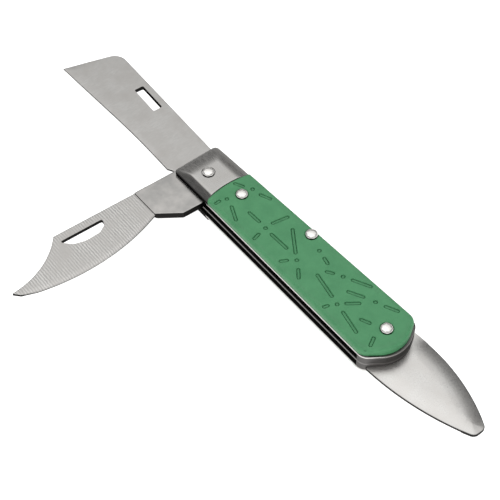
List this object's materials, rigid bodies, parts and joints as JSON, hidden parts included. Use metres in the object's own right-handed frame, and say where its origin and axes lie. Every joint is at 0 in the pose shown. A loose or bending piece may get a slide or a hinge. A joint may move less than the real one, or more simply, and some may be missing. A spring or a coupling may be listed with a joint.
{
  "type": "folding grafting knife",
  "caption": "Folding grafting and whittling knife with a straight blade, a hooked pruning blade and a fixed bark lifter in a green covered handle.",
  "frame": {"origin": "on the plane that the knife lies on, at the axis of the blade pivot", "axes": "+X to the tip of the opened straight blade, +Y out of the handle's open side, +Z through the thickness from the back to the front"},
  "size_m": [0.2014, 0.0916, 0.0134],
  "materials": {
    "green_plastic": "satin",
    "bolster_steel": "satin",
    "liner_steel": "satin",
    "spring_steel": "satin",
    "lifter_steel": "satin",
    "blade_steel": "brushed",
    "rivet_steel": "polished"
  },
  "bodies": {
    "handle": {"front_cover": "green_plastic", "back_cover": "green_plastic", "front_bolster": "bolster_steel", "back_bolster": "bolster_steel", "front_liner": "liner_steel", "centre_liner": "liner_steel", "back_liner": "liner_steel", "hook_backspring": "spring_steel", "lifter_backspring": "lifter_steel", "pivot_pin": "rivet_steel", "spring_pin": "rivet_steel", "end_pin": "rivet_steel", "front_cover_pin": "rivet_steel", "back_cover_pin": "rivet_steel", "front_bolster_pins": "rivet_steel", "back_bolster_pins": "rivet_steel"},
    "straight": {"straight_blade": "blade_steel"},
    "hook": {"hook_blade": "blade_steel"}
  },
  "joints": [
    {"name": "straight_blade_fold", "type": "hinge", "parent": "handle", "child": "straight", "pos_m": [0, 0, 0.0046], "axis": [0, 0, 1], "range_deg": [0, 180]},
    {"name": "hook_blade_fold", "type": "hinge", "parent": "handle", "child": "hook", "pos_m": [0, 0, 0.008], "axis": [0, 0, 1], "range_deg": [-90, 90]}
  ]
}
